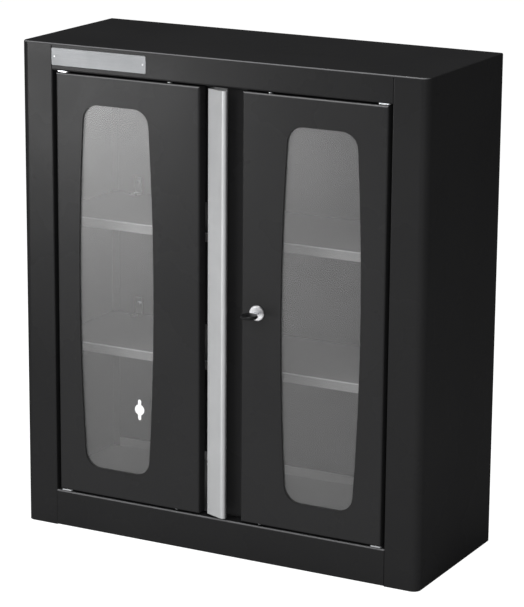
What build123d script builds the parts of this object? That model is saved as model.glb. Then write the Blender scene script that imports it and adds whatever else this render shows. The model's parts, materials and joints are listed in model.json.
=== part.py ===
from build123d import *
from math import asin, cos, degrees, radians, sin, sqrt
import os

# Wall cabinet of folded sheet steel with two hinged doors, tall windows, two shelves and a key lock.
# Millimetres, +Z up. The origin lies on the wall, midway across and halfway up, and the front looks
# along -Y. Heights are counted from the underside, depths from the front, and places across from
# the middle.

# Overall size
width = 736.0
height = 828.0
depth = 284.0

# Casing
casing_sheet = 1.2
small_bend = 2.0
front_bend = 13.0
stile_width = 60.0
stile_return = 24.0
side_flange = 15.0
rim_height = 3.0
rim_rounding = 2.4
top_rail_height = 45.0
bottom_rail_height = 62.5
rail_sheet = 2.0
rail_bend = 3.0
rail_flange = 28.0
rail_lip = 10.0
floor_height = 56.0
floor_rear_lip = 16.0
floor_side_lip = 16.0
floor_front_lip = 10.0
floor_corner_clearance = 3.0

# Wall fixings: double-ended keyholes in the back panel
keyhole_from_side = 54.8
keyhole_from_end = 128.2
keyhole_radius = 10.0
keyhole_slot_radius = 3.6
keyhole_length = 38.7

# Shelves and what carries them
upper_shelf_height = 524.0
lower_shelf_height = 306.0
shelf_setback = 75.0
shelf_lip = 15.5
shelf_lip_return = 8.0
shelf_clearance = 0.6
angle_sheet = 1.5
angle_ledge = 15.0
angle_wall = 20.0
angle_length = 170.0
bracket_width = 13.0
bracket_height = 30.0
bracket_foot = 20.0
bracket_screw_height = 20.0
bracket_screw_setback = 12.0

# Doors
door_sheet = 1.2
door_depth = 20.0
door_rounding = 3.0
door_lip = 10.0
door_end_gap = 3.2
door_side_gap = 7.0
left_door_edge = 31.7
right_door_edge = 46.6
plate_gap = 3.7
plate_setback = 22.0
plate_flange = 12.0
stop_clearance = 0.3
stop_width = 18.0
stop_height = 15.0
stop_across = 150.0

# Windows
window_inner_edge = 117.3
window_outer_margin = 41.7
window_end_margin = 47.4
window_bow = 10.65
window_corner = 28.0
pane_sheet = 3.0
pane_margin = 8.0
gasket_sheet = 1.0
gasket_margin = 5.0
retainer_sheet = 1.2
retainer_margin = 15.0
stud_radius = 2.0
stud_margin = 11.5
stud_length = 9.0
stud_rows = 3
stud_end_margin = 57.65
pane_nut_flats = 7.0
pane_nut_height = 3.2

# Hinges: a plate with a pin at each end of each door
pin_radius = 4.0
pin_length = 15.0
pin_from_edge = 10.0
pin_setback = 9.5
hinge_plate_sheet = 2.0
hinge_plate_width = 20.0
hinge_plate_front = 3.0
hinge_plate_depth = 21.0
hinge_screw_setback = 19.0
hinge_screw_spacing = 12.0
bush_radius = 5.5
bush_collar_radius = 6.5
bush_collar = 2.0
bush_length = 16.0
bush_fit = 0.05
bush_seat_gap = 0.3

# Handle profile, seen from above
handle_wall = 3.0
handle_base = 26.0
handle_from_plate_edge = 10.0
handle_face_setback = 4.0
handle_lip_radius = 5.5
handle_reach = 39.0
handle_proud = 8.5
handle_end_inset = 1.6
handle_screw_rows = 5
handle_screw_end_margin = 27.05

# Lock
lock_from_edge = 28.4
lock_head_radius = 13.0
lock_head_proud = 3.0
lock_head_bevel = 1.2
barrel_radius = 9.5
barrel_length = 12.4
plug_radius = 7.5
plug_recess = 0.4
lock_fit = 0.05
plug_tail_radius = 4.5
plug_square = 6.0
cam_setback = 16.2
cam_sheet = 2.5
cam_hub_radius = 8.0
cam_radius = 18.0
cam_pin_radius = 2.5
cam_end_radius = 5.0
cam_rest_angle = 45.0
lock_nut_flats = 24.0
lock_nut_height = 3.4

# Lock rods and door bolts
rod_radius = 4.0
rod_setback = 9.5
rod_end_gap = 0.5
rod_hole_clearance = 2.5
rod_head_setback = 12.7
rod_head_sheet = 3.0
rod_head_margin = 3.5
rod_head_rise = 14.0
slot_side_clearance = 0.6
slot_lift_clearance = 0.9
upper_rod_from_lock = 16.5
lower_rod_from_lock = 3.0
lower_rod_drop = 35.0
lower_rod_foot = 12.0
guide_sheet = 2.0
guide_width = 16.0
guide_foot = 18.0
guide_clearance = 0.4
guide_from_end = 110.0
bolt_length = 120.0
bolt_travel = 20.0
bolt_knob_radius = 4.0
bolt_knob_reach = 24.0
bracket_span = 60.0
bracket_from_end = 50.0

# Key
key_blade_width = 8.0
key_blade_sheet = 2.2
key_blade_depth = 8.0
keyway_clearance = 0.25
key_bow_centre = 27.0
key_bow_radius = 14.0
key_bow_thickness = 5.5
key_bow_hole_radius = 3.0
key_bow_hole_offset = 7.5
key_bow_edge = 1.5
key_tang = 10.0

# Screws
screw_head_flats = 7.0
screw_head_height = 2.8
screw_shank_radius = 2.0
screw_hole_clearance = 0.1

# Sizes that follow from the ones above
half_width = width / 2
opening_half = half_width - stile_width
rail_top = height - top_rail_height
door_bottom = bottom_rail_height + door_end_gap
door_top = rail_top - door_end_gap
door_middle = (door_bottom + door_top) / 2
door_height = door_top - door_bottom
door_outer = opening_half - door_side_gap
left_door_width = door_outer - left_door_edge
right_door_front_width = door_outer - right_door_edge
plate_edge = plate_gap - left_door_edge
plate_width = right_door_edge - plate_edge
pin_across = door_outer - pin_from_edge
window_width = door_outer - window_outer_margin - window_inner_edge
window_height = door_height - 2 * window_end_margin
window_across = window_inner_edge + window_width / 2
stud_pitch = (window_height - 2 * stud_end_margin) / (stud_rows - 1)
handle_screw_pitch = (door_height - 2 * handle_screw_end_margin) / (handle_screw_rows - 1)
lock_across = right_door_edge + lock_from_edge
upper_rod_across = lock_across + upper_rod_from_lock
lower_rod_across = lock_across + lower_rod_from_lock
inner_half = half_width - casing_sheet
rod_travel = 2 * cam_radius * sin(radians(cam_rest_angle))
side_height = height - rim_height


def at_height(h):
    return h - height / 2


def behind(d):
    return d - depth


def folded(points, bends, sheet, side=Side.LEFT):
    """Closed outline of a folded sheet, from the points along its outer line."""
    with BuildLine() as fold:
        FilletPolyline(*points, radius=bends)
        offset(amount=sheet, side=side)
    return fold.wires()[0]


def screw(length):
    """Hexagon head screw along Z, with the head's seat at the origin and the shank below it."""
    with BuildPart() as one:
        with BuildSketch(Plane.XY):
            RegularPolygon(screw_head_flats / 2, 6, major_radius=False)
        extrude(amount=screw_head_height)
        with BuildSketch(Plane.XY):
            Circle(screw_shank_radius)
        extrude(amount=-length)
    return one.part


def nut(flats, nut_height, bore_radius):
    """Hexagon nut along Z, standing on the origin."""
    with BuildPart() as one:
        with BuildSketch(Plane.XY):
            RegularPolygon(flats / 2, 6, major_radius=False)
            Circle(bore_radius, mode=Mode.SUBTRACT)
        extrude(amount=nut_height)
    return one.part


def save(name, part):
    part.label = name
    export_step(part, "parts/" + name + ".step")


os.makedirs("parts", exist_ok=True)

# Side panels: side wall with a back flange, and flanges turned in at the top and the bottom
with BuildPart() as left_side_panel:
    wall_points = [
        (-half_width + side_flange, -casing_sheet),
        (-half_width, -casing_sheet),
        (-half_width, behind(stile_return)),
    ]
    with BuildSketch(Plane.XY.offset(at_height(0))):
        make_face(folded(wall_points, small_bend, casing_sheet))
    extrude(amount=side_height)
    flange_length = depth - stile_return - 2 * casing_sheet
    for flange_bottom in (0, side_height - casing_sheet):
        with BuildSketch(Plane.XY.offset(at_height(flange_bottom))):
            with Locations((-inner_half, behind(stile_return))):
                Rectangle(side_flange, flange_length, align=(Align.MIN, Align.MIN))
        extrude(amount=casing_sheet)
save("left_side_panel", left_side_panel.part)

with BuildPart() as right_side_panel:
    mirror(left_side_panel.part, about=Plane.YZ)
save("right_side_panel", right_side_panel.part)

# Stiles: rounded front corner, flat front and a return, welded flush to the side wall
with BuildPart() as left_stile:
    stile_points = [
        (-half_width, behind(stile_return)),
        (-half_width, behind(0)),
        (-opening_half, behind(0)),
        (-opening_half, behind(stile_return)),
    ]
    with BuildSketch(Plane.XY.offset(at_height(0))):
        make_face(folded(stile_points, [front_bend, small_bend], casing_sheet))
    extrude(amount=side_height)
save("left_stile", left_stile.part)

with BuildPart() as right_stile:
    mirror(left_stile.part, about=Plane.YZ)
save("right_stile", right_stile.part)

# Top panel: shallow tray with a rounded rim
with BuildPart() as top_panel:
    with BuildSketch(Plane.XY.offset(at_height(side_height))):
        with Locations((0, -casing_sheet)):
            Rectangle(width, depth - casing_sheet, align=(Align.CENTER, Align.MAX))
        front_corners = vertices().group_by(Axis.Y)[0]
        fillet(front_corners, front_bend)
    extrude(amount=rim_height)
    rim_edges = faces().sort_by(Axis.Z)[-1].edges().sort_by(Axis.Y)[:-1]
    fillet(rim_edges, rim_rounding)
    offset(amount=-casing_sheet, openings=faces().sort_by(Axis.Z)[0])
save("top_panel", top_panel.part)

# Rails: folded channels of thicker sheet between the stiles, since they carry the doors, with square
# holes for the rods and bolts, and holes for the hinge screws
top_rail_points = [
    (behind(0), at_height(side_height)),
    (behind(0), at_height(rail_top)),
    (behind(rail_flange), at_height(rail_top)),
    (behind(rail_flange), at_height(rail_top + rail_lip)),
]
bottom_rail_points = [
    (behind(side_flange), at_height(0)),
    (behind(0), at_height(0)),
    (behind(0), at_height(bottom_rail_height)),
    (behind(rail_flange), at_height(bottom_rail_height)),
    (behind(rail_flange), at_height(bottom_rail_height - rail_lip)),
]
rails = (
    ("top_rail", top_rail_points, Side.LEFT, rail_top, 1, upper_rod_across),
    ("bottom_rail", bottom_rail_points, Side.RIGHT, bottom_rail_height, -1, lower_rod_across),
)
rod_hole = 2 * (rod_radius + rod_hole_clearance)
for name, rail_points, turn, seat, outward, rod_across in rails:
    with BuildPart() as rail:
        with BuildSketch(Plane.YZ):
            make_face(folded(rail_points, rail_bend, rail_sheet, turn))
        extrude(amount=opening_half, both=True)
        with BuildSketch(Plane.XY.offset(at_height(seat))):
            for side in (-1, 1):
                with Locations((side * rod_across, behind(rod_setback))):
                    Rectangle(rod_hole, rod_hole)
                with Locations((side * pin_across, behind(hinge_screw_setback))):
                    with GridLocations(hinge_screw_spacing, 1, 2, 1):
                        Circle(screw_shank_radius + screw_hole_clearance)
        extrude(amount=outward * rail_sheet, mode=Mode.SUBTRACT)
    save(name, rail.part)

# Floor panel: front lip against the rail, raised floor, side lips and rear lip in one sheet
with BuildPart() as floor_panel:
    floor_points = [
        (behind(rail_flange), at_height(floor_height - floor_front_lip)),
        (behind(rail_flange), at_height(floor_height)),
        (-2 * casing_sheet, at_height(floor_height)),
        (-2 * casing_sheet, at_height(floor_height + floor_rear_lip)),
    ]
    with BuildSketch(Plane.YZ):
        make_face(folded(floor_points, small_bend, casing_sheet, Side.RIGHT))
    extrude(amount=inner_half, both=True)
    # The front lip stops at the stiles, and the floor runs on to the side walls behind them
    with BuildSketch(Plane.XY.offset(at_height(0))):
        for side in (-1, 1):
            with Locations((side * (opening_half + half_width) / 2, behind(0))):
                Rectangle(
                    stile_width,
                    rail_flange + floor_corner_clearance,
                    align=(Align.CENTER, Align.MIN),
                )
    extrude(amount=bottom_rail_height, mode=Mode.SUBTRACT)
    # The rear lip stops at the back flanges of the side panels
    with BuildSketch(Plane.XY.offset(at_height(floor_height))):
        for side in (-1, 1):
            with Locations((side * half_width, -casing_sheet)):
                Rectangle(2 * side_flange, 2 * small_bend, align=(Align.CENTER, Align.MAX))
    extrude(amount=floor_rear_lip, mode=Mode.SUBTRACT)
    with BuildSketch(Plane.XY.offset(at_height(floor_height - casing_sheet))):
        for side in (-1, 1):
            with Locations((side * half_width, 0)):
                Rectangle(2 * side_flange, 2 * (2 * casing_sheet + small_bend))
    extrude(amount=casing_sheet, mode=Mode.SUBTRACT)
    floor_lip_front = behind(rail_flange + floor_corner_clearance)
    with BuildSketch(Plane.XY.offset(at_height(floor_height))):
        for side in (-1, 1):
            with Locations((side * (inner_half - casing_sheet / 2), (floor_lip_front - side_flange) / 2)):
                Rectangle(casing_sheet, -floor_lip_front - side_flange)
    extrude(amount=-floor_side_lip)
save("floor_panel", floor_panel.part)

# Back panel: flat sheet over the back flanges, with four double-ended keyholes
keyhole_across = half_width - keyhole_from_side
keyhole_up = height / 2 - keyhole_from_end
shelf_heights = (upper_shelf_height, lower_shelf_height)
with BuildPart() as back_panel:
    with BuildSketch(Plane.XZ):
        Rectangle(width, height)
        fillet(vertices().group_by(Axis.Y)[-1], rim_rounding)
        with GridLocations(2 * keyhole_across, 2 * keyhole_up, 2, 2):
            Circle(keyhole_radius, mode=Mode.SUBTRACT)
            SlotOverall(keyhole_length, 2 * keyhole_slot_radius, rotation=90, mode=Mode.SUBTRACT)
        for shelf_height in shelf_heights:
            with Locations((0, at_height(shelf_height + bracket_screw_height))):
                with GridLocations(2 * keyhole_across, 1, 2, 1):
                    Circle(screw_shank_radius + screw_hole_clearance, mode=Mode.SUBTRACT)
    extrude(amount=casing_sheet)
save("back_panel", back_panel.part)

# Shelves: trays turned upside down, with a returned front lip
shelf_front = behind(shelf_setback)
shelf_back = -2 * casing_sheet - shelf_clearance
shelf_half = inner_half - shelf_clearance
for name, shelf_height in (("upper_shelf", upper_shelf_height), ("lower_shelf", lower_shelf_height)):
    with BuildPart() as shelf:
        with BuildSketch(Plane.XY.offset(at_height(shelf_height - shelf_lip))):
            with Locations((0, shelf_front)):
                Rectangle(2 * shelf_half, shelf_back - shelf_front, align=(Align.CENTER, Align.MIN))
        extrude(amount=shelf_lip)
        top_edges = faces().sort_by(Axis.Z)[-1].edges()
        fillet(top_edges, small_bend)
        offset(amount=-casing_sheet, openings=faces().sort_by(Axis.Z)[0])
        with BuildSketch(Plane.XY.offset(at_height(shelf_height - shelf_lip))):
            with Locations((0, shelf_front)):
                Rectangle(2 * shelf_half, shelf_lip_return, align=(Align.CENTER, Align.MIN))
        extrude(amount=casing_sheet)
        with BuildSketch(Plane.XY.offset(at_height(shelf_height))):
            with Locations((0, -casing_sheet - bracket_screw_setback)):
                with GridLocations(2 * keyhole_across, 1, 2, 1):
                    Circle(screw_shank_radius + screw_hole_clearance)
        extrude(amount=-casing_sheet, mode=Mode.SUBTRACT)
    save(name, shelf.part)

# Shelf angles: one ledge on each side wall under each shelf
with BuildPart() as shelf_angles:
    for shelf_height in shelf_heights:
        ledge = at_height(shelf_height - shelf_lip)
        for side in (-1, 1):
            wall = side * inner_half
            ledge_points = [
                (wall - side * angle_ledge, ledge),
                (wall, ledge),
                (wall, ledge - angle_wall),
            ]
            turn = Side.RIGHT if side > 0 else Side.LEFT
            with BuildSketch(Plane.XZ.offset(-shelf_front - (shelf_back - shelf_front + angle_length) / 2)):
                make_face(folded(ledge_points, small_bend, angle_sheet, turn))
            extrude(amount=angle_length)
save("shelf_angles", shelf_angles.part)

# Shelf brackets: small upright angles that tie the back of each shelf to the back panel
with BuildPart() as shelf_brackets:
    for shelf_height in shelf_heights:
        base = at_height(shelf_height)
        foot_points = [
            (-casing_sheet - bracket_foot, base),
            (-casing_sheet, base),
            (-casing_sheet, base + bracket_height),
        ]
        for side in (-1, 1):
            with BuildSketch(Plane.YZ.offset(side * keyhole_across - bracket_width / 2)):
                make_face(folded(foot_points, small_bend, angle_sheet, Side.LEFT))
            extrude(amount=bracket_width)
    for shelf_height in shelf_heights:
        with BuildSketch(Plane.XZ.offset(casing_sheet)):
            with Locations((0, at_height(shelf_height + bracket_screw_height))):
                with GridLocations(2 * keyhole_across, 1, 2, 1):
                    Circle(screw_shank_radius + screw_hole_clearance)
        extrude(amount=angle_sheet, mode=Mode.SUBTRACT)
        with BuildSketch(Plane.XY.offset(at_height(shelf_height))):
            with Locations((0, -casing_sheet - bracket_screw_setback)):
                with GridLocations(2 * keyhole_across, 1, 2, 1):
                    Circle(screw_shank_radius + screw_hole_clearance)
        extrude(amount=angle_sheet, mode=Mode.SUBTRACT)
save("shelf_brackets", shelf_brackets.part)

bracket_screw = screw(angle_sheet + casing_sheet)
with BuildPart() as shelf_screws:
    for shelf_height in shelf_heights:
        for side in (-1, 1):
            across = side * keyhole_across
            up_place = (across, -casing_sheet - angle_sheet, at_height(shelf_height + bracket_screw_height))
            down_place = (
                across,
                -casing_sheet - bracket_screw_setback,
                at_height(shelf_height + angle_sheet),
            )
            with Locations(Location(up_place, (90, 0, 0)), Location(down_place)):
                add(bracket_screw)
save("shelf_screws", shelf_screws.part)

# Hinge plates: each carries the pin that one end of a door turns on
hinge_ends = (("upper", rail_top, -1), ("lower", bottom_rail_height, 1))
for side_name, side in (("left", -1), ("right", 1)):
    for end_name, seat, inward in hinge_ends:
        with BuildPart() as hinge_plate:
            with BuildSketch(Plane.XY.offset(at_height(seat))):
                with Locations((side * pin_across, behind(hinge_plate_front))):
                    Rectangle(
                        hinge_plate_width,
                        hinge_plate_depth,
                        align=(Align.CENTER, Align.MIN),
                    )
                chamfer(vertices(), small_bend)
                with Locations((side * pin_across, behind(hinge_screw_setback))):
                    with GridLocations(hinge_screw_spacing, 1, 2, 1):
                        Circle(screw_shank_radius + screw_hole_clearance, mode=Mode.SUBTRACT)
            extrude(amount=inward * hinge_plate_sheet)
            with BuildSketch(Plane.XY.offset(at_height(seat))):
                with Locations((side * pin_across, behind(pin_setback))):
                    Circle(pin_radius)
            extrude(amount=inward * (hinge_plate_sheet + pin_length))
            pin_end = edges().filter_by(GeomType.CIRCLE).sort_by(Axis.Z)[0 if inward < 0 else -1]
            chamfer(pin_end, 0.25 * pin_radius)
        save(side_name + "_" + end_name + "_hinge_plate", hinge_plate.part)

hinge_screw = screw(rail_sheet + hinge_plate_sheet)
with BuildPart() as hinge_screws:
    for end_name, seat, inward in hinge_ends:
        head_seat = at_height(seat - inward * rail_sheet)
        tilt = 0 if inward < 0 else 180
        for side in (-1, 1):
            for step in (-1, 1):
                across = side * pin_across + step * hinge_screw_spacing / 2
                with Locations(Location((across, behind(hinge_screw_setback), head_seat), (tilt, 0, 0))):
                    add(hinge_screw)
save("hinge_screws", hinge_screws.part)

# Door stops: small angles on the rail flanges, just behind the closed doors
stop_front = door_depth + stop_clearance
with BuildPart() as door_stops:
    for seat, inward in ((rail_top, -1), (bottom_rail_height, 1)):
        stop_points = [
            (behind(rail_flange - rail_bend), at_height(seat)),
            (behind(stop_front), at_height(seat)),
            (behind(stop_front), at_height(seat + inward * stop_height)),
        ]
        turn = Side.LEFT if inward < 0 else Side.RIGHT
        for side in (-1, 1):
            with BuildSketch(Plane.YZ.offset(side * stop_across - stop_width / 2)):
                make_face(folded(stop_points, small_bend, angle_sheet, turn))
            extrude(amount=stop_width)
save("door_stops", door_stops.part)

# Window outline: straight ends, bowed sides, rounded corners
bow_radius = ((window_height / 2) ** 2 + window_bow ** 2) / (2 * window_bow)
bow_centre = window_width / 2 - bow_radius


def window_outline(margin):
    """Barrel-shaped window as a flat shape, grown all round by a margin."""
    tall = window_height / 2 + margin
    wide = window_width / 2 + margin
    corner = bow_centre + sqrt((bow_radius + margin) ** 2 - tall ** 2)
    with BuildSketch() as outline:
        with BuildLine():
            Line((-corner, tall), (corner, tall))
            ThreePointArc((corner, tall), (wide, 0), (corner, -tall))
            Line((corner, -tall), (-corner, -tall))
            ThreePointArc((-corner, -tall), (-wide, 0), (-corner, tall))
        make_face()
        fillet(outline.vertices(), window_corner + margin)
    return outline.sketch


def stud_places():
    """Places of the studs round a window, from its centre."""
    places = [(0, window_height / 2 + stud_margin), (0, -window_height / 2 - stud_margin)]
    for row in range(stud_rows):
        up = (row - (stud_rows - 1) / 2) * stud_pitch
        across = bow_centre + sqrt((bow_radius + stud_margin) ** 2 - up ** 2)
        places += [(across, up), (-across, up)]
    return places


# Left door skin: a shallow pan with a lip all round the back
with BuildPart() as left_door_skin:
    with BuildSketch(Plane.XZ.offset(-behind(door_depth))):
        with Locations((-door_outer, at_height(door_bottom))):
            Rectangle(left_door_width, door_height, align=(Align.MIN, Align.MIN))
    extrude(amount=door_depth)
    front_edges = faces().sort_by(Axis.Y)[0].edges()
    fillet(front_edges, door_rounding)
    offset(amount=-door_sheet, openings=faces().sort_by(Axis.Y)[-1])
    with BuildSketch(Plane.XZ.offset(-behind(door_depth))):
        with Locations((-door_outer + left_door_width / 2, at_height(door_middle))):
            Rectangle(left_door_width, door_height)
            Rectangle(left_door_width - 2 * door_lip, door_height - 2 * door_lip, mode=Mode.SUBTRACT)
    extrude(amount=door_sheet)
    with BuildSketch(Plane.XZ.offset(-behind(0))):
        with Locations((-window_across, at_height(door_middle))):
            add(window_outline(0))
    extrude(amount=-door_sheet, mode=Mode.SUBTRACT)
    with BuildSketch(Plane.XZ.offset(-behind(door_sheet))):
        for across, up in stud_places():
            with Locations((across - window_across, at_height(door_middle) + up)):
                Circle(stud_radius)
    extrude(amount=-stud_length)
    with BuildSketch(Plane.XY.offset(at_height(0))):
        with Locations((-pin_across, behind(pin_setback))):
            Circle(bush_radius)
    extrude(amount=height, mode=Mode.SUBTRACT)
    with BuildSketch(Plane.XY.offset(at_height(door_middle))):
        with Locations((-upper_rod_across, behind(rod_setback))):
            Circle(rod_radius + guide_clearance)
    extrude(amount=door_height, mode=Mode.SUBTRACT)
    with BuildSketch(Plane.XY.offset(at_height(door_middle))):
        with Locations((-lower_rod_across, behind(rod_setback))):
            Circle(rod_radius + guide_clearance)
    extrude(amount=-door_height, mode=Mode.SUBTRACT)
save("left_door_skin", left_door_skin.part)

# Right door skin: a pan whose inner side steps back to a plate that carries the handle
handle_left = plate_edge + handle_from_plate_edge
handle_screw_across = handle_left + handle_base / 2 + handle_wall / 2
with BuildPart() as right_door_skin:
    with BuildSketch(Plane.XZ.offset(-behind(door_depth))):
        with Locations((door_outer, at_height(door_bottom))):
            Rectangle(right_door_front_width, door_height, align=(Align.MAX, Align.MIN))
    extrude(amount=door_depth)
    fillet(faces().sort_by(Axis.Y)[0].edges(), door_rounding)
    offset(amount=-door_sheet, openings=faces().sort_by(Axis.Y)[-1])
    with BuildSketch(Plane.XZ.offset(-behind(door_depth))):
        with Locations((door_outer, at_height(door_middle))):
            Rectangle(right_door_front_width, door_height, align=(Align.MAX, Align.CENTER))
        with Locations((door_outer - door_lip, at_height(door_middle))):
            Rectangle(
                right_door_front_width,
                door_height - 2 * door_lip,
                align=(Align.MAX, Align.CENTER),
                mode=Mode.SUBTRACT,
            )
    extrude(amount=door_sheet)
    plate_back = behind(plate_setback + plate_flange)
    plate_points = [
        (right_door_edge, behind(door_depth / 2)),
        (right_door_edge, behind(plate_setback)),
        (plate_edge, behind(plate_setback)),
        (plate_edge, plate_back),
    ]
    with BuildSketch(Plane.XY.offset(at_height(door_bottom))):
        make_face(folded(plate_points, [small_bend, door_rounding], door_sheet, Side.RIGHT))
    extrude(amount=door_height)
    plate_flange_width = plate_width - door_rounding
    for flange_bottom in (door_bottom, door_top - door_sheet):
        with BuildSketch(Plane.XY.offset(at_height(flange_bottom))):
            with Locations((right_door_edge, plate_back)):
                Rectangle(plate_flange_width, plate_flange, align=(Align.MAX, Align.MAX))
        extrude(amount=door_sheet)
    with BuildSketch(Plane.XZ.offset(-behind(0))):
        with Locations((window_across, at_height(door_middle))):
            add(window_outline(0))
        with Locations((lock_across, at_height(door_middle))):
            Circle(barrel_radius)
    extrude(amount=-door_sheet, mode=Mode.SUBTRACT)
    with BuildSketch(Plane.XZ.offset(-behind(plate_setback))):
        with Locations((handle_screw_across, at_height(door_middle))):
            with GridLocations(1, handle_screw_pitch, 1, handle_screw_rows):
                Circle(screw_shank_radius + screw_hole_clearance)
    extrude(amount=-door_sheet, mode=Mode.SUBTRACT)
    with BuildSketch(Plane.XZ.offset(-behind(door_sheet))):
        for across, up in stud_places():
            with Locations((across + window_across, at_height(door_middle) + up)):
                Circle(stud_radius)
    extrude(amount=-stud_length)
    with BuildSketch(Plane.XY.offset(at_height(0))):
        with Locations((pin_across, behind(pin_setback))):
            Circle(bush_radius)
    extrude(amount=height, mode=Mode.SUBTRACT)
    with BuildSketch(Plane.XY.offset(at_height(door_middle))):
        with Locations((upper_rod_across, behind(rod_setback))):
            Circle(rod_radius + guide_clearance)
    extrude(amount=door_height, mode=Mode.SUBTRACT)
    with BuildSketch(Plane.XY.offset(at_height(door_middle))):
        with Locations((lower_rod_across, behind(rod_setback))):
            Circle(rod_radius + guide_clearance)
    extrude(amount=-door_height, mode=Mode.SUBTRACT)
save("right_door_skin", right_door_skin.part)

# Panes, their gaskets, the frames that hold them in, and the nuts on the studs
pane_front = door_sheet + gasket_sheet
retainer_front = pane_front + pane_sheet
pane_nut = nut(pane_nut_flats, pane_nut_height, stud_radius)
for name, side in (("left", -1), ("right", 1)):
    centre = (side * window_across, at_height(door_middle))
    with BuildPart() as gasket:
        with BuildSketch(Plane.XZ.offset(-behind(door_sheet))):
            with Locations(centre):
                add(window_outline(gasket_margin))
                add(window_outline(0), mode=Mode.SUBTRACT)
        extrude(amount=-gasket_sheet)
    save(name + "_pane_gasket", gasket.part)

    with BuildPart() as pane:
        with BuildSketch(Plane.XZ.offset(-behind(pane_front))):
            with Locations(centre):
                add(window_outline(pane_margin))
        extrude(amount=-pane_sheet)
    save(name + "_pane", pane.part)

    with BuildPart() as retainer:
        with BuildSketch(Plane.XZ.offset(-behind(retainer_front))):
            with Locations(centre):
                add(window_outline(retainer_margin))
                add(window_outline(0), mode=Mode.SUBTRACT)
            for across, up in stud_places():
                with Locations((centre[0] + across, centre[1] + up)):
                    Circle(stud_radius + screw_hole_clearance, mode=Mode.SUBTRACT)
        extrude(amount=-retainer_sheet)
    save(name + "_pane_retainer", retainer.part)

    with BuildPart() as pane_nuts:
        for across, up in stud_places():
            place = (centre[0] + across, behind(retainer_front + retainer_sheet), centre[1] + up)
            with Locations(Location(place, (-90, 0, 0))):
                add(pane_nut)
    save(name + "_pane_nuts", pane_nuts.part)

# Hinge bushes: plastic, with a collar inside the door
for name, side in (("left", -1), ("right", 1)):
    with BuildPart() as bushes:
        for edge, inward in ((rail_top - hinge_plate_sheet, -1), (bottom_rail_height + hinge_plate_sheet, 1)):
            bush_end = at_height(edge + inward * bush_seat_gap)
            collar_seat = at_height((door_top if inward < 0 else door_bottom) + inward * door_sheet)
            with BuildSketch(Plane.XY.offset(bush_end)):
                with Locations((side * pin_across, behind(pin_setback))):
                    Circle(bush_radius)
                    Circle(pin_radius + bush_fit, mode=Mode.SUBTRACT)
            extrude(amount=inward * bush_length)
            with BuildSketch(Plane.XY.offset(collar_seat)):
                with Locations((side * pin_across, behind(pin_setback))):
                    Circle(bush_collar_radius)
                    Circle(pin_radius + bush_fit, mode=Mode.SUBTRACT)
            extrude(amount=inward * bush_collar)
    save(name + "_hinge_bushes", bushes.part)

# Handle: aluminium profile with a base on the plate, a slanted face and a round lip
lip_centre = Vector(handle_left + handle_reach - handle_lip_radius, behind(handle_lip_radius - handle_proud))
face_start = Vector(handle_left, behind(handle_face_setback))
to_lip = lip_centre - face_start
tangent_angle = asin(handle_lip_radius / to_lip.length)
tangent_length = to_lip.length * cos(tangent_angle)
face_end = face_start + to_lip.normalized().rotate(Axis.Z, -degrees(tangent_angle)) * tangent_length
with BuildPart() as handle_profile:
    profile_points = [
        (handle_left + handle_base, behind(plate_setback)),
        (handle_left, behind(plate_setback)),
        (face_start.X, face_start.Y),
        (face_end.X, face_end.Y),
    ]
    with BuildSketch(Plane.XY.offset(at_height(door_bottom + handle_end_inset))):
        make_face(folded(profile_points, 0.4 * handle_wall, handle_wall))
        with Locations((lip_centre.X, lip_centre.Y)):
            Circle(handle_lip_radius)
    extrude(amount=door_height - 2 * handle_end_inset)
    with BuildSketch(Plane.XZ.offset(-behind(plate_setback))):
        with Locations((handle_screw_across, at_height(door_middle))):
            with GridLocations(1, handle_screw_pitch, 1, handle_screw_rows):
                Circle(screw_shank_radius + screw_hole_clearance)
    extrude(amount=handle_wall, mode=Mode.SUBTRACT)
save("handle_profile", handle_profile.part)

handle_screw = screw(door_sheet + handle_wall)
with BuildPart() as handle_screws:
    for row in range(handle_screw_rows):
        up = at_height(door_middle) + (row - (handle_screw_rows - 1) / 2) * handle_screw_pitch
        place = (handle_screw_across, behind(plate_setback + door_sheet), up)
        with Locations(Location(place, (-90, 0, 0))):
            add(handle_screw)
save("handle_screws", handle_screws.part)

# Lock housing: bevelled round head in front of the door skin and a barrel through it
lock_up = at_height(door_middle)
lock_front = Plane.XZ.offset(-behind(-lock_head_proud))
with BuildPart() as lock_housing:
    with BuildSketch(lock_front):
        with Locations((lock_across, lock_up)):
            Circle(lock_head_radius)
    extrude(amount=-lock_head_proud)
    head_edge = edges().filter_by(GeomType.CIRCLE).sort_by(Axis.Y)[0]
    chamfer(head_edge, lock_head_bevel)
    with BuildSketch(Plane.XZ.offset(-behind(0))):
        with Locations((lock_across, lock_up)):
            Circle(barrel_radius)
    extrude(amount=-barrel_length)
    with BuildSketch(lock_front):
        with Locations((lock_across, lock_up)):
            Circle(plug_radius + lock_fit)
    extrude(amount=-lock_head_proud - barrel_length, mode=Mode.SUBTRACT)
save("lock_housing", lock_housing.part)

lock_nut_part = nut(lock_nut_flats, lock_nut_height, barrel_radius)
with BuildPart() as lock_nut:
    with Locations(Location((lock_across, behind(door_sheet), lock_up), (-90, 0, 0))):
        add(lock_nut_part)
save("lock_nut", lock_nut.part)

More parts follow.
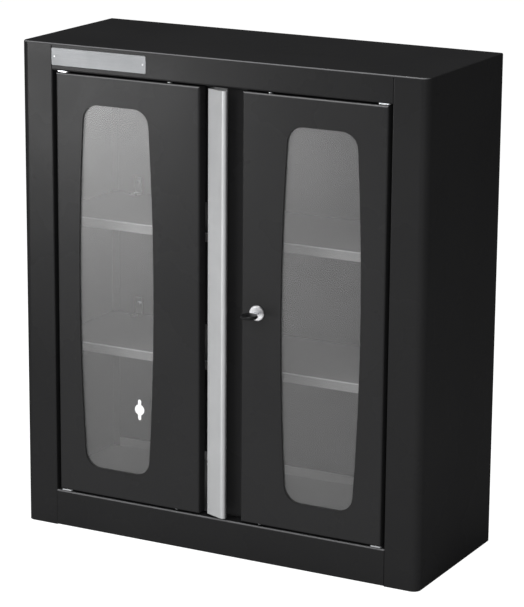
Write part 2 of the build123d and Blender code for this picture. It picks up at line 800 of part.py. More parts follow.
# Lock plug: turns in the barrel, with the keyway in front, and a tail with a square for the cam
plug_front = plug_recess - lock_head_proud
with BuildPart() as lock_plug:
    with BuildSketch(Plane.XZ.offset(-behind(plug_front))):
        with Locations((lock_across, lock_up)):
            Circle(plug_radius)
    extrude(amount=plug_front - barrel_length)
    with BuildSketch(Plane.XZ.offset(-behind(barrel_length))):
        with Locations((lock_across, lock_up)):
            Circle(plug_tail_radius)
    extrude(amount=barrel_length - cam_setback)
    with BuildSketch(Plane.XZ.offset(-behind(cam_setback))):
        with Locations((lock_across, lock_up)):
            Rectangle(plug_square, plug_square)
    extrude(amount=-cam_sheet)
    with BuildSketch(Plane.XZ.offset(-behind(plug_front))):
        with Locations((lock_across, lock_up)):
            Rectangle(key_blade_width + 2 * keyway_clearance, key_blade_sheet + 2 * keyway_clearance)
    extrude(amount=plug_front - key_blade_depth - keyway_clearance, mode=Mode.SUBTRACT)
    with BuildSketch(Plane.XZ.offset(-behind(cam_setback + cam_sheet))):
        with Locations((lock_across, lock_up)):
            Circle(screw_shank_radius + screw_hole_clearance)
    extrude(amount=cam_sheet + cam_setback - barrel_length, mode=Mode.SUBTRACT)
save("lock_plug", lock_plug.part)

# Lock cam: two arms, each with a pin that works in the slot of a rod
with BuildPart() as lock_cam:
    cam_places = [
        (
            lock_across + side * cam_radius * cos(radians(cam_rest_angle)),
            lock_up - side * cam_radius * sin(radians(cam_rest_angle)),
        )
        for side in (-1, 1)
    ]
    with BuildSketch(Plane.XZ.offset(-behind(cam_setback))):
        with Locations((lock_across, lock_up)):
            Circle(cam_hub_radius)
            SlotCenterToCenter(2 * cam_radius, 2 * cam_end_radius, rotation=-cam_rest_angle)
            Rectangle(
                plug_square + 2 * screw_hole_clearance,
                plug_square + 2 * screw_hole_clearance,
                mode=Mode.SUBTRACT,
            )
    extrude(amount=-cam_sheet)
    with BuildSketch(Plane.XZ.offset(-behind(cam_setback))):
        with Locations(*cam_places):
            Circle(cam_pin_radius)
    extrude(amount=cam_setback - rod_head_setback)
save("lock_cam", lock_cam.part)

cam_screw_part = screw(cam_sheet + cam_setback - barrel_length - screw_hole_clearance)
with BuildPart() as cam_screw:
    with Locations(Location((lock_across, behind(cam_setback + cam_sheet), lock_up), (-90, 0, 0))):
        add(cam_screw_part)
save("cam_screw", cam_screw.part)

# Lock rods: round bars that the cam drives out of the two ends of the door
pin_near = cam_radius * cos(radians(cam_rest_angle))
slot_near = pin_near - cam_pin_radius - slot_side_clearance
slot_far = cam_radius + cam_pin_radius + slot_side_clearance
slot_length = slot_far - slot_near
slot_middle = (slot_near + slot_far) / 2
slot_rise = 2 * (cam_pin_radius + slot_lift_clearance)
head_width = slot_length + 2 * rod_head_margin
head_height = slot_rise + 2 * rod_head_margin
head_plane = Plane.XZ.offset(-behind(rod_head_setback))
with BuildPart() as upper_lock_rod:
    slot_up = lock_up - rod_travel / 2
    head_across = lock_across + slot_middle
    with BuildSketch(head_plane):
        with Locations((head_across, slot_up - head_height / 2)):
            Rectangle(head_width, head_height + rod_head_rise, align=(Align.CENTER, Align.MIN))
        fillet(vertices(), small_bend)
        with Locations((head_across, slot_up)):
            Rectangle(slot_length, slot_rise, mode=Mode.SUBTRACT)
    extrude(amount=-rod_head_sheet)
    rod_foot = slot_up + slot_rise / 2 + rod_head_margin / 2
    with BuildSketch(Plane.XY.offset(rod_foot)):
        with Locations((upper_rod_across, behind(rod_setback))):
            Circle(rod_radius)
    extrude(amount=at_height(rail_top - rod_end_gap) - rod_foot)
    chamfer(edges().filter_by(GeomType.CIRCLE).sort_by(Axis.Z)[-1], 0.25 * rod_radius)
save("upper_lock_rod", upper_lock_rod.part)

with BuildPart() as lower_lock_rod:
    slot_up = lock_up + rod_travel / 2
    head_across = lock_across - slot_middle
    foot_bottom = lock_up - lower_rod_drop
    foot_right = lower_rod_across + rod_radius + rod_head_margin / 2
    with BuildSketch(head_plane):
        with Locations((head_across, foot_bottom)):
            Rectangle(
                head_width,
                slot_up + head_height / 2 - foot_bottom,
                align=(Align.CENTER, Align.MIN),
            )
        with Locations((head_across - head_width / 2, foot_bottom)):
            Rectangle(
                foot_right - head_across + head_width / 2,
                lower_rod_foot,
                align=(Align.MIN, Align.MIN),
            )
        fillet(vertices(), small_bend)
        with Locations((head_across, slot_up)):
            Rectangle(slot_length, slot_rise, mode=Mode.SUBTRACT)
    extrude(amount=-rod_head_sheet)
    rod_crown = foot_bottom + lower_rod_foot
    with BuildSketch(Plane.XY.offset(rod_crown)):
        with Locations((lower_rod_across, behind(rod_setback))):
            Circle(rod_radius)
    extrude(amount=at_height(bottom_rail_height + rod_end_gap) - rod_crown)
    chamfer(edges().filter_by(GeomType.CIRCLE).sort_by(Axis.Z)[0], 0.25 * rod_radius)
save("lower_lock_rod", lower_lock_rod.part)

# Rod guides: angles on the back of the door skin that keep the rods straight
ear_reach = rod_setback + rod_radius + guide_sheet - door_sheet
with BuildPart() as rod_guides:
    for across, up, inward in (
        (upper_rod_across, at_height(door_top - guide_from_end), -1),
        (lower_rod_across, at_height(door_bottom + guide_from_end), 1),
    ):
        guide_points = [
            (behind(door_sheet), up + inward * guide_foot),
            (behind(door_sheet), up),
            (behind(door_sheet + ear_reach), up),
        ]
        turn = Side.RIGHT if inward < 0 else Side.LEFT
        with BuildSketch(Plane.YZ.offset(across - guide_width / 2)):
            make_face(folded(guide_points, 1.5 * guide_sheet, guide_sheet, turn))
        extrude(amount=guide_width)
        with BuildSketch(Plane.XY.offset(up)):
            with Locations((across, behind(rod_setback))):
                Circle(rod_radius + guide_clearance)
        extrude(amount=inward * guide_foot, mode=Mode.SUBTRACT)
save("rod_guides", rod_guides.part)

# Left door bolts: round bars with a knob, each in a bracket with two ears
bolt_ends = (
    ("left_upper_bolt", -upper_rod_across, at_height(rail_top - rod_end_gap), -1),
    ("left_lower_bolt", -lower_rod_across, at_height(bottom_rail_height + rod_end_gap), 1),
)
for name, across, bolt_end, inward in bolt_ends:
    knob_up = bolt_end + inward * (bracket_from_end + (bracket_span + bolt_travel) / 2)
    with BuildPart() as bolt:
        with BuildSketch(Plane.XY.offset(bolt_end)):
            with Locations((across, behind(rod_setback))):
                Circle(rod_radius)
        extrude(amount=inward * bolt_length)
        tip = edges().filter_by(GeomType.CIRCLE).sort_by(Axis.Z)[-1 if inward < 0 else 0]
        chamfer(tip, 0.25 * rod_radius)
        with BuildSketch(Plane.XZ.offset(-behind(rod_setback))):
            with Locations((across, knob_up)):
                Circle(bolt_knob_radius)
        extrude(amount=rod_setback - bolt_knob_reach)
        knob_edge = edges().filter_by(GeomType.CIRCLE).sort_by(Axis.Y)[-1]
        chamfer(knob_edge, 0.3 * bolt_knob_radius)
    save(name, bolt.part)

with BuildPart() as left_bolt_brackets:
    for name, across, bolt_end, inward in bolt_ends:
        near = bolt_end + inward * bracket_from_end
        far = near + inward * bracket_span
        bracket_points = [
            (behind(door_sheet + ear_reach), near),
            (behind(door_sheet), near),
            (behind(door_sheet), far),
            (behind(door_sheet + ear_reach), far),
        ]
        turn = Side.LEFT if inward < 0 else Side.RIGHT
        with BuildSketch(Plane.YZ.offset(across - guide_width / 2)):
            make_face(folded(bracket_points, 1.5 * guide_sheet, guide_sheet, turn))
        extrude(amount=guide_width)
        with BuildSketch(Plane.XY.offset(near)):
            with Locations((across, behind(rod_setback))):
                Circle(rod_radius + guide_clearance)
        extrude(amount=inward * bracket_span, mode=Mode.SUBTRACT)
save("left_bolt_brackets", left_bolt_brackets.part)

# Key: steel blade and a flat round plastic bow, lying level in the keyway
blade_tip = key_blade_depth
blade_root = -key_bow_centre + key_bow_radius - key_tang
blade_section = (key_blade_width, key_blade_sheet)
with BuildPart() as key_blade:
    with BuildSketch(Plane.XZ.offset(-behind(blade_tip))):
        with Locations((lock_across, lock_up)):
            Rectangle(*blade_section)
    extrude(amount=blade_tip - blade_root)
    chamfer(edges().filter_by(Axis.Z).group_by(Axis.Y)[-1], 0.25 * key_blade_width)
save("key_blade", key_blade.part)

with BuildPart() as key_bow:
    with BuildSketch(Plane.XY.offset(lock_up - key_bow_thickness / 2)):
        with Locations((lock_across, behind(-key_bow_centre))):
            Circle(key_bow_radius)
    extrude(amount=key_bow_thickness)
    chamfer(edges(), key_bow_edge)
    with BuildSketch(Plane.XY.offset(lock_up - key_bow_thickness)):
        with Locations((lock_across, behind(-key_bow_centre - key_bow_hole_offset))):
            Circle(key_bow_hole_radius)
    extrude(amount=2 * key_bow_thickness, mode=Mode.SUBTRACT)
    with BuildSketch(Plane.XZ.offset(-behind(-key_bow_centre + key_bow_radius))):
        with Locations((lock_across, lock_up)):
            Rectangle(*blade_section)
    extrude(amount=key_tang, mode=Mode.SUBTRACT)
save("key_bow", key_bow.part)
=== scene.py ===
"""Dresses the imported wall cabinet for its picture: finishes, blank nameplate, light and camera.

Every length is in metres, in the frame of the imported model: the origin on the wall, midway across
and halfway up, with +Z up and the front looking along -Y.
"""

import json
import logging
import math
from dataclasses import dataclass, field
from enum import Enum
from typing import Protocol

import bmesh
import bpy
from mathutils import Matrix, Vector


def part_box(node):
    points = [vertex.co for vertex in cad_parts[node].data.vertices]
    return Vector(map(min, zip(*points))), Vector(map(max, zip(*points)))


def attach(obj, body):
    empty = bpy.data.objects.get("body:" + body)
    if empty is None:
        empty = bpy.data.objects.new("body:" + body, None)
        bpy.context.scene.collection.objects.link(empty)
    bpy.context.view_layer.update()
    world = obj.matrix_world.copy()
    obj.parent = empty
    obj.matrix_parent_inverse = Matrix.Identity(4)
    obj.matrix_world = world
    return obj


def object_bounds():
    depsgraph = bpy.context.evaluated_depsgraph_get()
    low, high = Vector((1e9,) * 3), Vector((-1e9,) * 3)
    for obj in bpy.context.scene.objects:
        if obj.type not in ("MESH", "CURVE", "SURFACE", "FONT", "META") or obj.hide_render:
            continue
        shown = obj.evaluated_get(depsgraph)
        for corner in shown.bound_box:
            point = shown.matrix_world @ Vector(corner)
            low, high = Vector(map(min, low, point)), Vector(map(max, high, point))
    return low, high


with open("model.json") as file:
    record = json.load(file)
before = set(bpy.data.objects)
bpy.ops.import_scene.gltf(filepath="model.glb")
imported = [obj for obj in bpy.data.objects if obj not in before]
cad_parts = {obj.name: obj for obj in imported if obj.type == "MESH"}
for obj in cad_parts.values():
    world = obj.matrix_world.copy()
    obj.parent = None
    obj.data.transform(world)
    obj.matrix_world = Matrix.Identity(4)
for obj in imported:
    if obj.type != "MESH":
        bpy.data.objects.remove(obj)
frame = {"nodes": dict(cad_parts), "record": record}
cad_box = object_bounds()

log = logging.getLogger("wall_cabinet")

Colour = tuple[float, float, float]
Point = tuple[float, float, float]
Band = tuple[float, float]
Socket = bpy.types.NodeSocket

# Blender's noise seldom leaves this part of its range from 0 to 1
NOISE_BAND: Band = (0.3, 0.7)
WHITE: Colour = (1.0, 1.0, 1.0)


class Grain(Enum):
    """How a brushed or drawn finish runs: the scale of its noise along X, Y and Z."""

    ACROSS = (0.012, 1.0, 1.0)
    UP = (1.0, 1.0, 0.008)
    NONE = (1.0, 1.0, 1.0)


class Bench:
    """A material's node tree while it is put together."""

    def __init__(self, name: str) -> None:
        """Starts an empty node material.

        Args:
            name: The material's name.
        """
        self.material = bpy.data.materials.new(name)
        self.material.use_nodes = True
        self.tree = self.material.node_tree
        self.tree.nodes.clear()
        self.output = self.node("ShaderNodeOutputMaterial")
        coordinates = self.node("ShaderNodeTexCoord")
        self.place, self.facing = coordinates.outputs["Object"], coordinates.outputs["Normal"]

    def node(self, kind: str, **values: object) -> bpy.types.Node:
        """Adds a node and sets its inputs.

        Args:
            kind: The node's type, as Blender names it.
            **values: Values or sockets for its inputs, with _ for each space in an input's name.

        Returns:
            The new node.
        """
        made = self.tree.nodes.new(kind)
        for name, value in values.items():
            self.feed(value, made.inputs[name.replace("_", " ")])
        return made

    def feed(self, value: object, socket: Socket) -> None:
        """Sets or links one input.

        Args:
            value: A plain value, or the socket that it comes from.
            socket: The input.
        """
        if isinstance(value, bpy.types.NodeSocket):
            self.tree.links.new(value, socket)
        else:
            socket.default_value = value

    def noise(self, cells: float, detail: float = 2.0, stretch: Point = Grain.NONE.value) -> Socket:
        """Noise in the object's own space.

        Args:
            cells: Cells in a metre.
            detail: Octaves of finer noise.
            stretch: Scale along X, Y and Z.

        Returns:
            The noise's value, from 0 to 1.
        """
        mapping = self.node("ShaderNodeMapping", Vector=self.place, Scale=stretch)
        made = self.node("ShaderNodeTexNoise", Vector=mapping.outputs["Vector"], Scale=cells, Detail=detail)
        return made.outputs["Fac"]

    def spread(self, source: Socket, low: float, high: float) -> Socket:
        """Maps the middle of a noise to a range of numbers.

        Args:
            source: A value from 0 to 1.
            low: The result at the low end of the noise's band.
            high: The result at the high end of the noise's band.

        Returns:
            The mapped value.
        """
        made = self.node(
            "ShaderNodeMapRange",
            Value=source,
            From_Min=NOISE_BAND[0],
            From_Max=NOISE_BAND[1],
            To_Min=low,
            To_Max=high,
        )
        return made.outputs["Result"]

    def blend(self, source: Socket, first: Colour, second: Colour) -> Socket:
        """Mixes two colours by a noise.

        Args:
            source: A value from 0 to 1.
            first: The colour where the source is low.
            second: The colour where the source is high.

        Returns:
            The mixed colour.
        """
        made = self.node("ShaderNodeValToRGB", Fac=source)
        for stop, at, colour in zip(made.color_ramp.elements, NOISE_BAND, (first, second)):
            stop.position = at
            stop.color = (*colour, 1.0)
        return made.outputs["Color"]

    def cover(self, share: float | Socket, under: Socket, over: Colour | Socket) -> Socket:
        """Lays one colour over another.

        Args:
            share: The share of the colour on top, from 0 to 1.
            under: The colour below.
            over: The colour on top.

        Returns:
            The mixed colour.
        """
        top = over if isinstance(over, bpy.types.NodeSocket) else (*over, 1.0)
        return self.node("ShaderNodeMixRGB", Fac=share, Color1=under, Color2=top).outputs["Color"]

    def maths(self, kind: str, first: Socket, second: float | Socket) -> Socket:
        """Works out one sum.

        Args:
            kind: The sum's name, as Blender writes it.
            first: The first value.
            second: The second value.

        Returns:
            The result.
        """
        made = self.tree.nodes.new("ShaderNodeMath")
        made.operation = kind
        self.feed(first, made.inputs[0])
        self.feed(second, made.inputs[1])
        return made.outputs[0]

    def upper_bends(self) -> Socket:
        """Finds the bends between a piece's top and its front, where a highlight is painted into the base
        colour.

        Returns:
            1 in the middle of such a bend, and 0 on every flat face.
        """
        facing = self.node("ShaderNodeSeparateXYZ", Vector=self.facing)
        ahead = self.maths("MAXIMUM", self.maths("MULTIPLY", facing.outputs["Y"], -1.0), 0.0)
        above = self.maths("MAXIMUM", facing.outputs["Z"], 0.0)
        both = self.maths("MULTIPLY", self.maths("MULTIPLY", ahead, above), 2.0)
        return self.maths("POWER", self.maths("MINIMUM", both, 1.0), 2.0)

    def bump(self, height: Socket, depth: float, strength: float) -> Socket:
        """Turns a height into a normal.

        Args:
            height: The height's value.
            depth: How high a value of 1 stands, in metres.
            strength: The share of the effect that shows.

        Returns:
            The bent normal.
        """
        return self.node("ShaderNodeBump", Height=height, Distance=depth, Strength=strength).outputs["Normal"]

    def mix(self, share: float | Socket, first: bpy.types.Node, second: bpy.types.Node) -> bpy.types.Node:
        """Mixes two shaders.

        Args:
            share: The share of the second one, from 0 to 1.
            first: The shader shown where the share is 0.
            second: The shader shown where the share is 1.

        Returns:
            The mixing node.
        """
        made = self.node("ShaderNodeMixShader", Fac=share)
        self.tree.links.new(first.outputs[0], made.inputs[1])
        self.tree.links.new(second.outputs[0], made.inputs[2])
        return made

    def finish(self, shader: bpy.types.Node) -> bpy.types.Material:
        """Shows a shader and hands over the material.

        Args:
            shader: The node whose first output is shown.

        Returns:
            The finished material.
        """
        self.tree.links.new(shader.outputs[0], self.output.inputs["Surface"])
        return self.material


class Finish(Protocol):
    """What every finish has and can do."""

    name: str

    def make(self) -> bpy.types.Material:
        """Builds the finish's material."""


@dataclass(frozen=True)
class PowderCoat:
    """Semi-gloss powder paint on steel, with a fine orange peel and a painted highlight on the bends between
    top and front.
    """

    name: str = "dark_grey_powder_coat"
    light: Colour = (0.0130, 0.0130, 0.0133)
    dark: Colour = (0.0112, 0.0112, 0.0115)
    # painted highlight: a lighter colour laid on the bends between top and front, standing in for light
    # caught by the rounded edges
    painted_bend_highlight: Colour = (0.15, 0.15, 0.154)
    mottle: float = 5.0
    fleck: Colour = (0.05, 0.05, 0.052)
    fleck_cells: float = 1800.0
    fleck_share: float = 0.10
    peel: float = 420.0
    peel_depth: float = 0.00006
    peel_strength: float = 0.5
    wear: float = 9.0
    roughness: Band = (0.59, 0.66)
    gloss: Band = (0.25, 0.30)
    gloss_share: float = 0.006

    def make(self) -> bpy.types.Material:
        """Builds the paint's material.

        Returns:
            The material.
        """
        bench = Bench(self.name)
        plain = bench.blend(bench.noise(self.mottle, detail=3.0), self.dark, self.light)
        specks = bench.spread(bench.noise(self.fleck_cells, detail=1.0), 0.0, self.fleck_share)
        flecked = bench.cover(specks, plain, self.fleck)
        skin = bench.bump(bench.noise(self.peel), self.peel_depth, self.peel_strength)
        wear = bench.noise(self.wear, detail=4.0)
        # The base colour carries a painted highlight on each bend between top and front.
        coat = bench.node(
            "ShaderNodeBsdfPrincipled",
            Base_Color=bench.cover(bench.upper_bends(), flecked, self.painted_bend_highlight),
            Roughness=bench.spread(wear, *self.roughness),
            Specular_IOR_Level=0.0,
            Normal=skin,
        )
        shine = bench.node(
            "ShaderNodeBsdfGlossy",
            Color=(*WHITE, 1.0),
            Roughness=bench.spread(wear, *self.gloss),
            Normal=skin,
        )
        return bench.finish(bench.mix(self.gloss_share, coat, shine))


@dataclass(frozen=True)
class ClearPane:
    """Clear plastic sheet with a thin matt film and a soft shine."""

    name: str = "hazy_clear_plastic"
    clear: Colour = (0.967, 0.967, 0.967)
    wisps: float = 7.0
    film: Colour = (0.79, 0.79, 0.795)
    pale_film: Colour = (0.82, 0.82, 0.825)
    film_cloud: float = 30.0
    film_roughness: float = 0.6
    film_share: Band = (0.02813, 0.02987)
    gloss: Band = (0.33, 0.35)
    gloss_share: float = 0.030

    def make(self) -> bpy.types.Material:
        """Builds the pane's material.

        Returns:
            The material.
        """
        bench = Bench(self.name)
        wisp = bench.noise(self.wisps, detail=3.0)
        film = bench.node(
            "ShaderNodeBsdfPrincipled",
            Base_Color=bench.blend(bench.noise(self.film_cloud, detail=3.0), self.film, self.pale_film),
            Roughness=self.film_roughness,
            Specular_IOR_Level=0.0,
        )
        clear = bench.node("ShaderNodeBsdfTransparent", Color=(*self.clear, 1.0))
        body = bench.mix(bench.spread(wisp, *self.film_share), clear, film)
        shine = bench.node(
            "ShaderNodeBsdfGlossy", Color=(*WHITE, 1.0), Roughness=bench.spread(wisp, *self.gloss)
        )
        return bench.finish(bench.mix(self.gloss_share, body, shine))


@dataclass(frozen=True)
class Metal:
    """Bare or plated metal, with a grain where it is brushed or drawn."""

    name: str
    light: Colour
    dark: Colour
    roughness: Band
    grain: Grain = Grain.NONE
    lines: float = 900.0
    lines_depth: float = 0.00002
    lines_strength: float = 0.6
    cloud: float = 18.0
    cloud_share: float = 0.5

    def make(self) -> bpy.types.Material:
        """Builds the metal's material.

        Returns:
            The material.
        """
        bench = Bench(self.name)
        lines = bench.noise(self.lines, detail=3.0, stretch=self.grain.value)
        lined = bench.blend(lines, self.dark, self.light)
        clouded = bench.blend(bench.noise(self.cloud, detail=3.0), self.light, self.dark)
        return bench.finish(
            bench.node(
                "ShaderNodeBsdfPrincipled",
                Base_Color=bench.cover(self.cloud_share, lined, clouded),
                Metallic=1.0,
                Roughness=bench.spread(lines, *self.roughness),
                Normal=bench.bump(lines, self.lines_depth, self.lines_strength),
            )
        )


@dataclass(frozen=True)
class Moulding:
    """Moulded plastic or rubber with a fine spark-eroded skin."""

    name: str
    light: Colour
    dark: Colour
    roughness: Band
    sheen: float = 0.5
    cloud: float = 40.0
    skin: float = 1400.0
    skin_depth: float = 0.00004
    skin_strength: float = 0.7

    def make(self) -> bpy.types.Material:
        """Builds the moulding's material.

        Returns:
            The material.
        """
        bench = Bench(self.name)
        skin = bench.noise(self.skin, detail=3.0)
        return bench.finish(
            bench.node(
                "ShaderNodeBsdfPrincipled",
                Base_Color=bench.blend(bench.noise(self.cloud, detail=3.0), self.dark, self.light),
                Roughness=bench.spread(skin, *self.roughness),
                Specular_IOR_Level=self.sheen,
                Normal=bench.bump(skin, self.skin_depth, self.skin_strength),
            )
        )


# The casing's paint is the finish of its slot; the doors and back have their own tones, and the shelves and
# floor get lighter copies of it as painted light
DOOR_PAINT = PowderCoat(
    "door_powder_coat",
    light=(0.0185, 0.0185, 0.0189),
    dark=(0.0168, 0.0168, 0.0172),
    painted_bend_highlight=(0.19, 0.19, 0.194),
)
# Painted light: the shelves wear the casing's paint many times lighter, standing in for light falling on them
# inside the cabinet, and their front bends carry a strong painted highlight
LIT_SHELF_PAINT = PowderCoat(
    "shelf_powder_coat_painted_light",
    light=(0.18, 0.18, 0.181),
    dark=(0.165, 0.165, 0.166),
    painted_bend_highlight=(0.46, 0.46, 0.465),
)
# Painted light: the floor panel wears the casing's paint lighter still, standing in for a pool of light on
# it; its bends carry no painted highlight
LIT_FLOOR_PAINT = PowderCoat(
    "floor_powder_coat_painted_light",
    light=(0.30, 0.30, 0.301),
    dark=(0.28, 0.28, 0.281),
    painted_bend_highlight=(0.29, 0.29, 0.291),
)
BACK_PAINT = PowderCoat(
    "back_powder_coat",
    light=(0.020, 0.020, 0.0204),
    dark=(0.018, 0.018, 0.0184),
    painted_bend_highlight=(0.02, 0.02, 0.0204),
    peel_depth=0.00001,
)
NODE_FINISHES: dict[str, Finish] = {
    "left_door_skin": DOOR_PAINT,
    "right_door_skin": DOOR_PAINT,
    "upper_shelf": LIT_SHELF_PAINT,
    "lower_shelf": LIT_SHELF_PAINT,
    "floor_panel": LIT_FLOOR_PAINT,
    "back_panel": BACK_PAINT,
}
SLOT_FINISHES: dict[str, Finish] = {
    "dark_grey_paint": PowderCoat(),
    "window_plastic": ClearPane(),
    "black_rubber": Moulding(
        "black_rubber_gasket",
        light=(0.022, 0.022, 0.022),
        dark=(0.014, 0.014, 0.014),
        roughness=(0.67, 0.79),
    ),
    "white_nylon": Moulding(
        "pale_nylon_bush",
        light=(0.44, 0.435, 0.42),
        dark=(0.38, 0.375, 0.36),
        roughness=(0.45, 0.57),
        sheen=0.3,
    ),
    "anodised_aluminium": Metal(
        "satin_anodised_profile",
        light=(0.48, 0.485, 0.49),
        dark=(0.42, 0.425, 0.43),
        roughness=(0.51, 0.60),
        grain=Grain.UP,
        lines=700.0,
    ),
    "lock_chrome": Metal(
        "bright_lock_chrome",
        light=(0.52, 0.52, 0.53),
        dark=(0.46, 0.46, 0.47),
        roughness=(0.26, 0.35),
        lines=300.0,
    ),
    "black_plastic": Moulding(
        "black_key_plastic",
        light=(0.008, 0.008, 0.0085),
        dark=(0.005, 0.005, 0.0055),
        roughness=(0.29, 0.41),
        sheen=0.12,
    ),
    "zinc_steel": Metal(
        "zinc_plated_steel",
        light=(0.60, 0.61, 0.63),
        dark=(0.47, 0.48, 0.50),
        roughness=(0.30, 0.39),
        lines=260.0,
    ),
}


def mesh_piece(name: str, builder: bmesh.types.BMesh) -> bpy.types.Object:
    """Makes a scene object of a finished mesh.

    Args:
        name: The piece's name.
        builder: The mesh, which is freed.

    Returns:
        The new object.
    """
    mesh = bpy.data.meshes.new(name)
    bmesh.ops.recalc_face_normals(builder, faces=builder.faces)
    builder.to_mesh(mesh)
    builder.free()
    piece = bpy.data.objects.new(name, mesh)
    bpy.context.scene.collection.objects.link(piece)
    return piece


def rounded_corners(wide: float, tall: float, radius: float, steps: int = 6) -> list[tuple[float, float]]:
    """Outline of a rectangle with round corners, about its centre.

    Args:
        wide: Its width.
        tall: Its height.
        radius: The corners' radius.
        steps: Straight pieces in each corner.

    Returns:
        The outline's points, counter-clockwise.
    """
    points = []
    for corner, (across, up) in enumerate(((1, 1), (-1, 1), (-1, -1), (1, -1))):
        for step in range(steps + 1):
            angle = math.radians(90 * (corner + step / steps))
            right = across * (wide / 2 - radius) + radius * math.cos(angle)
            high = up * (tall / 2 - radius) + radius * math.sin(angle)
            points.append((right, high))
    return points


@dataclass
class Nameplate:
    """Plain blank plate on the top rail, held by two small rivets."""

    centre: tuple[float, float] = (-0.2193, 0.3925)
    wide: float = 0.1786
    tall: float = 0.029
    thick: float = 0.0009
    corner: float = 0.0022
    edge: float = 0.0004
    rivet_inset: float = 0.0058
    rivet_radius: float = 0.0016
    rivet_rise: float = 0.0007
    rivet_sides: int = 20
    rivet_rings: int = 10
    face: Finish = Metal(
        "brushed_nameplate",
        light=(0.23, 0.235, 0.24),
        dark=(0.17, 0.175, 0.18),
        roughness=(0.46, 0.55),
        grain=Grain.ACROSS,
    )
    rivets: Finish = Metal(
        "rivet_aluminium",
        light=(0.72, 0.72, 0.73),
        dark=(0.62, 0.62, 0.63),
        roughness=(0.26, 0.35),
        lines=500.0,
    )

    def build_plate(self, front: float) -> bpy.types.Object:
        """Builds the plate with a bevelled front edge.

        Args:
            front: Y of the rail's front face.

        Returns:
            The plate.
        """
        builder = bmesh.new()
        middle, height = self.centre
        rings = []
        for inset, out in ((0.0, 0.0), (0.0, self.thick - self.edge), (self.edge, self.thick)):
            outline = rounded_corners(self.wide - 2 * inset, self.tall - 2 * inset, self.corner - inset)
            ring = [builder.verts.new((middle + across, front - out, height + up)) for across, up in outline]
            rings.append(ring)
        for near, far in zip(rings, rings[1:]):
            for one in range(len(near)):
                two = (one + 1) % len(near)
                builder.faces.new((near[one], near[two], far[two], far[one]))
        builder.faces.new(rings[0])
        builder.faces.new(rings[-1])
        return mesh_piece("nameplate", builder)

    def build_rivets(self, front: float) -> bpy.types.Object:
        """Builds both domed rivets as one smooth mesh.

        Args:
            front: Y of the plate's front face.

        Returns:
            The rivets.
        """
        builder = bmesh.new()
        turn = Matrix.Rotation(math.radians(90), 4, "X")
        squash = Matrix.Diagonal((1.0, 1.0, self.rivet_rise / self.rivet_radius, 1.0))
        for side in (-1, 1):
            across = self.centre[0] + side * (self.wide / 2 - self.rivet_inset)
            bmesh.ops.create_uvsphere(
                builder,
                u_segments=self.rivet_sides,
                v_segments=self.rivet_rings,
                radius=self.rivet_radius,
                matrix=Matrix.Translation((across, front, self.centre[1])) @ turn @ squash,
            )
        piece = mesh_piece("nameplate_rivets", builder)
        piece.data.shade_smooth()
        return piece

    def place(self) -> list[bpy.types.Object]:
        """Builds the plate and its rivets on the top rail and dresses them.

        Returns:
            The pieces.
        """
        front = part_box("top_panel")[0].y
        plate, rivets = self.build_plate(front), self.build_rivets(front - self.thick)
        for piece, finish in ((plate, self.face), (rivets, self.rivets)):
            piece.data.materials.append(finish.make())
            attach(piece, "cabinet")
        return [plate, rivets]


@dataclass
class Casework:
    """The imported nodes, dressed one by one or by their material slots."""

    slots: dict[str, str] = field(default_factory=dict)

    def __post_init__(self) -> None:
        """Reads each node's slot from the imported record."""
        self.slots = {row["node"]: row["material_slot"] for row in frame["record"]["subparts"]}

    def dress(self) -> None:
        """Gives every node its own finish, or else that of its slot."""
        chosen = {node: NODE_FINISHES.get(node, SLOT_FINISHES[slot]) for node, slot in self.slots.items()}
        made = {finish.name: finish.make() for finish in chosen.values()}
        for node, slot in sorted(self.slots.items()):
            piece = frame["nodes"][node]
            piece.data.materials.clear()
            piece.data.materials.append(made[chosen[node].name])
            log.info("%s is dressed in %s", node, chosen[node].name)


@dataclass(frozen=True)
class Lamp:
    """One soft square lamp."""

    name: str
    place: Point
    size: float
    power: float

    def build(self, aim: Point) -> None:
        """Adds the lamp to the scene.

        Args:
            aim: The point that it looks at.
        """
        data = bpy.data.lights.new(self.name, "AREA")
        data.size, data.energy = self.size, self.power
        lamp = bpy.data.objects.new(self.name, data)
        bpy.context.scene.collection.objects.link(lamp)
        lamp.location = self.place
        lamp.rotation_mode = "QUATERNION"
        lamp.rotation_quaternion = (Vector(aim) - Vector(self.place)).to_track_quat("-Z", "Y")


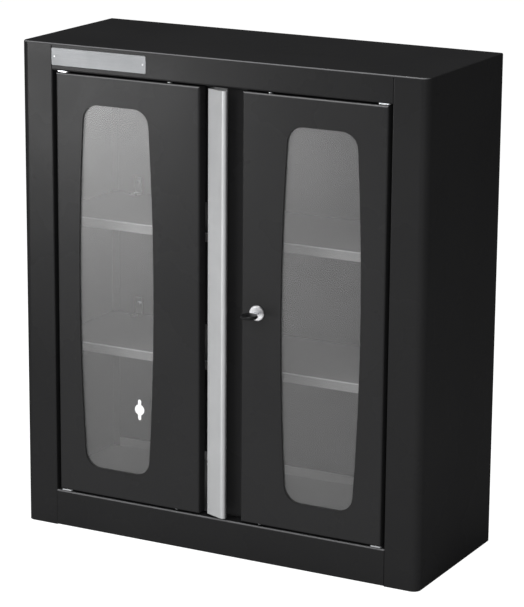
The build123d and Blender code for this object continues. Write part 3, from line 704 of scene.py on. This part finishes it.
@dataclass
class Studio:
    """Pale floor, white surroundings and soft lamps."""

    aim: Point = (-0.05, -0.25, 0.0)
    lamps: tuple[Lamp, ...] = (
        Lamp("key_lamp", (-0.90, -3.60, 1.70), size=2.0, power=46.0),
        Lamp("fill_lamp", (1.85, -3.50, 1.20), size=1.6, power=40.0),
        Lamp("left_panel", (-1.90, -2.80, -0.08), size=0.5, power=28.0),
        Lamp("overhead_panel", (0.0, -0.40, 3.0), size=1.2, power=70.0),
    )
    sky: float = 0.24
    floor_drop: float = 0.0005
    floor_reach: float = 9.0
    floor_squares: int = 8
    floor_tone: Colour = (0.93, 0.93, 0.93)
    floor_pale: Colour = (0.95, 0.95, 0.95)
    floor_cloud: float = 3.0
    floor_glow: float = 0.72
    floor_white: float = 1.33

    @staticmethod
    def for_camera(tree: bpy.types.NodeTree, low: float, high: float) -> Socket:
        """Gives camera rays another value than the rays that light the object.

        Args:
            tree: The node tree that asks.
            low: The value for the other rays.
            high: The value for camera rays.

        Returns:
            The value.
        """
        path = tree.nodes.new("ShaderNodeLightPath")
        value = tree.nodes.new("ShaderNodeMapRange")
        tree.links.new(path.outputs["Is Camera Ray"], value.inputs["Value"])
        value.inputs["To Min"].default_value = low
        value.inputs["To Max"].default_value = high
        return value.outputs["Result"]

    def surroundings(self) -> None:
        """Sets the world: white where it is seen, and a low even light on the object."""
        world = bpy.data.worlds.new("white_studio")
        world.use_nodes = True
        bpy.context.scene.world = world
        tree = world.node_tree
        tree.nodes.clear()
        lit = tree.nodes.new("ShaderNodeBackground")
        lit.inputs["Color"].default_value = (*WHITE, 1.0)
        tree.links.new(self.for_camera(tree, self.sky, 1.0), lit.inputs["Strength"])
        output = tree.nodes.new("ShaderNodeOutputWorld")
        tree.links.new(lit.outputs[0], output.inputs["Surface"])

    def floor(self) -> bpy.types.Object:
        """Lays the pale floor under the cabinet.

        Returns:
            The floor.
        """
        builder = bmesh.new()
        bmesh.ops.create_grid(
            builder,
            x_segments=self.floor_squares,
            y_segments=self.floor_squares,
            size=self.floor_reach,
            matrix=Matrix.Translation((0.0, 0.0, cad_box[0].z - self.floor_drop)),
        )
        piece = mesh_piece("studio_floor", builder)
        bench = Bench("pale_floor")
        colour = bench.blend(bench.noise(self.floor_cloud), self.floor_tone, self.floor_pale)
        pale = bench.node("ShaderNodeBsdfDiffuse", Color=colour)
        white = bench.node("ShaderNodeEmission", Strength=self.floor_white)
        share = self.for_camera(bench.tree, 0.0, self.floor_glow)
        piece.data.materials.append(bench.finish(bench.mix(share, pale, white)))
        return piece

    def build(self) -> None:
        """Builds the floor, the world and the lamps."""
        self.surroundings()
        self.floor()
        for lamp in self.lamps:
            lamp.build(self.aim)


@dataclass
class Viewpoint:
    """The camera, at the photograph's angle."""

    azimuth: float = 28.05
    elevation: float = 14.55
    roll: float = 0.44
    aim: Point = (0.0083, -0.142, -0.0161)
    distance: float = 4.4415
    lens: float = 158.5
    sensor: float = 36.0

    def build(self) -> None:
        """Makes the camera and gives it to the scene."""
        data = bpy.data.cameras.new("camera")
        data.lens, data.sensor_width, data.sensor_fit = self.lens, self.sensor, "AUTO"
        camera = bpy.data.objects.new("camera", data)
        bpy.context.scene.collection.objects.link(camera)
        turn, lift = math.radians(self.azimuth), math.radians(self.elevation)
        back = Vector((math.sin(turn) * math.cos(lift), -math.cos(turn) * math.cos(lift), math.sin(lift)))
        camera.location = Vector(self.aim) + back * self.distance
        camera.rotation_mode = "QUATERNION"
        tilt = Matrix.Rotation(math.radians(self.roll), 3, "Z").to_quaternion()
        camera.rotation_quaternion = (-back).to_track_quat("-Z", "Y") @ tilt
        bpy.context.scene.camera = camera


def main() -> None:
    """Builds the scene in order and reports each piece."""
    logging.basicConfig(level=logging.INFO, format="%(message)s")
    bpy.context.scene.view_settings.view_transform = "Standard"
    Viewpoint().build()
    Studio().build()
    Casework().dress()
    for piece in Nameplate().place():
        log.info("%s is in place", piece.name)


if __name__ == "__main__":
    main()
